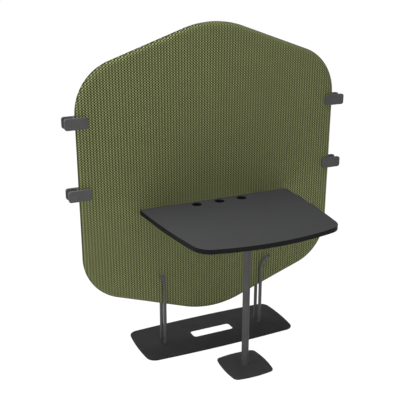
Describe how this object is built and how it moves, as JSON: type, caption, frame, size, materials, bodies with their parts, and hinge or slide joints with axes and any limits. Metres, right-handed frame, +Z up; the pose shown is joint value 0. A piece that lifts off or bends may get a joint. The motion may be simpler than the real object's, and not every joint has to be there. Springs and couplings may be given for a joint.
{
  "type": "desk with privacy screen",
  "caption": "Single desk with a tall upholstered hexagonal privacy screen behind it, a column under the table, a tube and plate stand under the screen, and pull-off linking clips.",
  "frame": {"origin": "on the floor, under the middle of the whole desk's box", "axes": "+X to the seated user's right along the screen, +Y away from the user, +Z up"},
  "size_m": [1.431, 0.8118, 1.5725],
  "materials": {
    "knit_fabric": "olive green ribbed knit",
    "foam": "upholstery foam",
    "core_board": "raw board",
    "steel_hardware": "zinc plated",
    "plate_paint": "fine textured black powder coat",
    "glide_pad": "matt",
    "leg_paint": "dark grey powder coat",
    "plug_plastic": "matt",
    "table_laminate": "satin dark grey laminate",
    "table_edge": "black edge band",
    "grommet_plastic": "black moulded plastic",
    "bracket_paint": "black powder coat",
    "column_paint": "grey powder coat",
    "clip_coating": "dark grey coated",
    "clip_liner": "matt"
  },
  "bodies": {
    "desk": {"base_pads": "glide_pad", "base_plate": "plate_paint", "bracket_bolts": "steel_hardware", "bracket_wood_screws": "steel_hardware", "cable_grommet_left": "grommet_plastic", "cable_grommet_middle": "grommet_plastic", "cable_grommet_right": "grommet_plastic", "column_flange": "bracket_paint", "column_insert": "steel_hardware", "column_screw": "steel_hardware", "column_tube": "column_paint", "flange_wood_screws": "steel_hardware", "foot_pads": "glide_pad", "foot_plate": "plate_paint", "leg_inserts": "steel_hardware", "leg_plug_left_back": "plug_plastic", "leg_plug_left_front": "plug_plastic", "leg_plug_right_back": "plug_plastic", "leg_plug_right_front": "plug_plastic", "leg_screws": "steel_hardware", "leg_tube_left_back": "leg_paint", "leg_tube_left_front": "leg_paint", "leg_tube_right_back": "leg_paint", "leg_tube_right_front": "leg_paint", "screen_clamp_screws": "steel_hardware", "screen_core": "core_board", "screen_cover_back": "knit_fabric", "screen_cover_front": "knit_fabric", "screen_foam_back": "foam", "screen_foam_front": "foam", "screen_sleeves": "steel_hardware", "screen_tee_nuts": "steel_hardware", "table_bracket_left": "bracket_paint", "table_bracket_right": "bracket_paint", "table_edge_band": "table_edge", "table_top": "table_laminate"},
    "clip_left_upper": {"clip_body_left_upper": "clip_coating", "clip_liners_left_upper": "clip_liner"},
    "clip_right_upper": {"clip_body_right_upper": "clip_coating", "clip_liners_right_upper": "clip_liner"},
    "clip_left_lower": {"clip_body_left_lower": "clip_coating", "clip_liners_left_lower": "clip_liner"},
    "clip_right_lower": {"clip_body_right_lower": "clip_coating", "clip_liners_right_lower": "clip_liner"}
  },
  "joints": [
    {"name": "clip_left_upper_pull", "type": "slide", "parent": "desk", "child": "clip_left_upper", "axis": [-1, 0, 0], "range_m": [0, 0.06]},
    {"name": "clip_right_upper_pull", "type": "slide", "parent": "desk", "child": "clip_right_upper", "axis": [1, 0, 0], "range_m": [0, 0.06]},
    {"name": "clip_left_lower_pull", "type": "slide", "parent": "desk", "child": "clip_left_lower", "axis": [-1, 0, 0], "range_m": [0, 0.06]},
    {"name": "clip_right_lower_pull", "type": "slide", "parent": "desk", "child": "clip_right_lower", "axis": [1, 0, 0], "range_m": [0, 0.06]}
  ]
}
